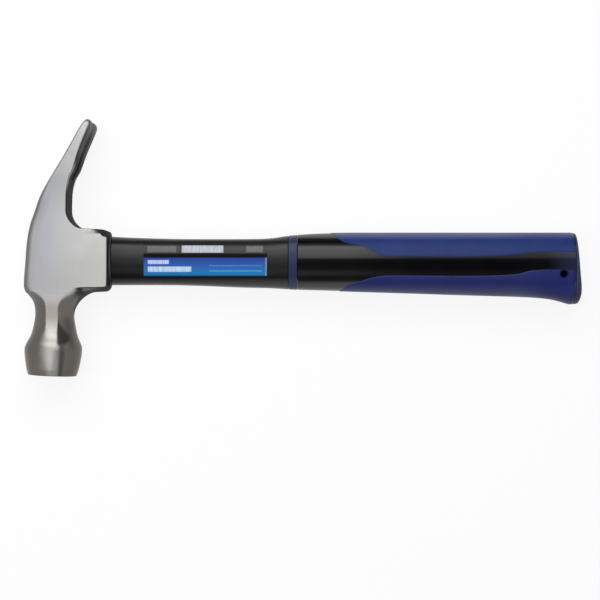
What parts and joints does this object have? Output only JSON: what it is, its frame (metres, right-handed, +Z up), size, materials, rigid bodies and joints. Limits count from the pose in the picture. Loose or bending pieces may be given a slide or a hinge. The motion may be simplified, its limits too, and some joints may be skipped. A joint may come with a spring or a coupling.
{
  "type": "framing hammer",
  "caption": "Rip claw framing hammer: forged steel head glued on a fibreglass rod, black sleeve, blue and black cushion grip, lying on its side.",
  "frame": {"origin": "centre of the hammer's bounding box in X and Y, on the plane that it lies on", "axes": "+X along the handle from the head to the butt, +Y to the tips of the claw, -Y the way the striking face looks, +Z up off the side that it lies on"},
  "size_m": [0.333, 0.1526, 0.0347],
  "materials": {
    "forged_steel": "satin, faintly brushed, with a brighter face",
    "fibreglass": "pultruded glass fibre in resin",
    "epoxy": "poured and set, slightly domed",
    "seal_rubber": "matt",
    "black_gloss": "glossy moulded skin",
    "label_film": "printed film, left bare of text",
    "steel_blue": "satin",
    "black_grip": "fine moulded grain",
    "blue_rubber": "soft, satin",
    "navy_rubber": "soft, satin",
    "cap_grey": "satin"
  },
  "bodies": {
    "root": {"head": "forged_steel", "fibreglass_core": "fibreglass", "eye_epoxy": "epoxy", "eye_seal": "seal_rubber", "sleeve": "black_gloss", "label": "label_film", "accent_ring": "steel_blue", "grip_base": "black_grip", "upper_panel": "blue_rubber", "lower_panel": "navy_rubber", "butt_cap": "cap_grey"}
  },
  "joints": []
}
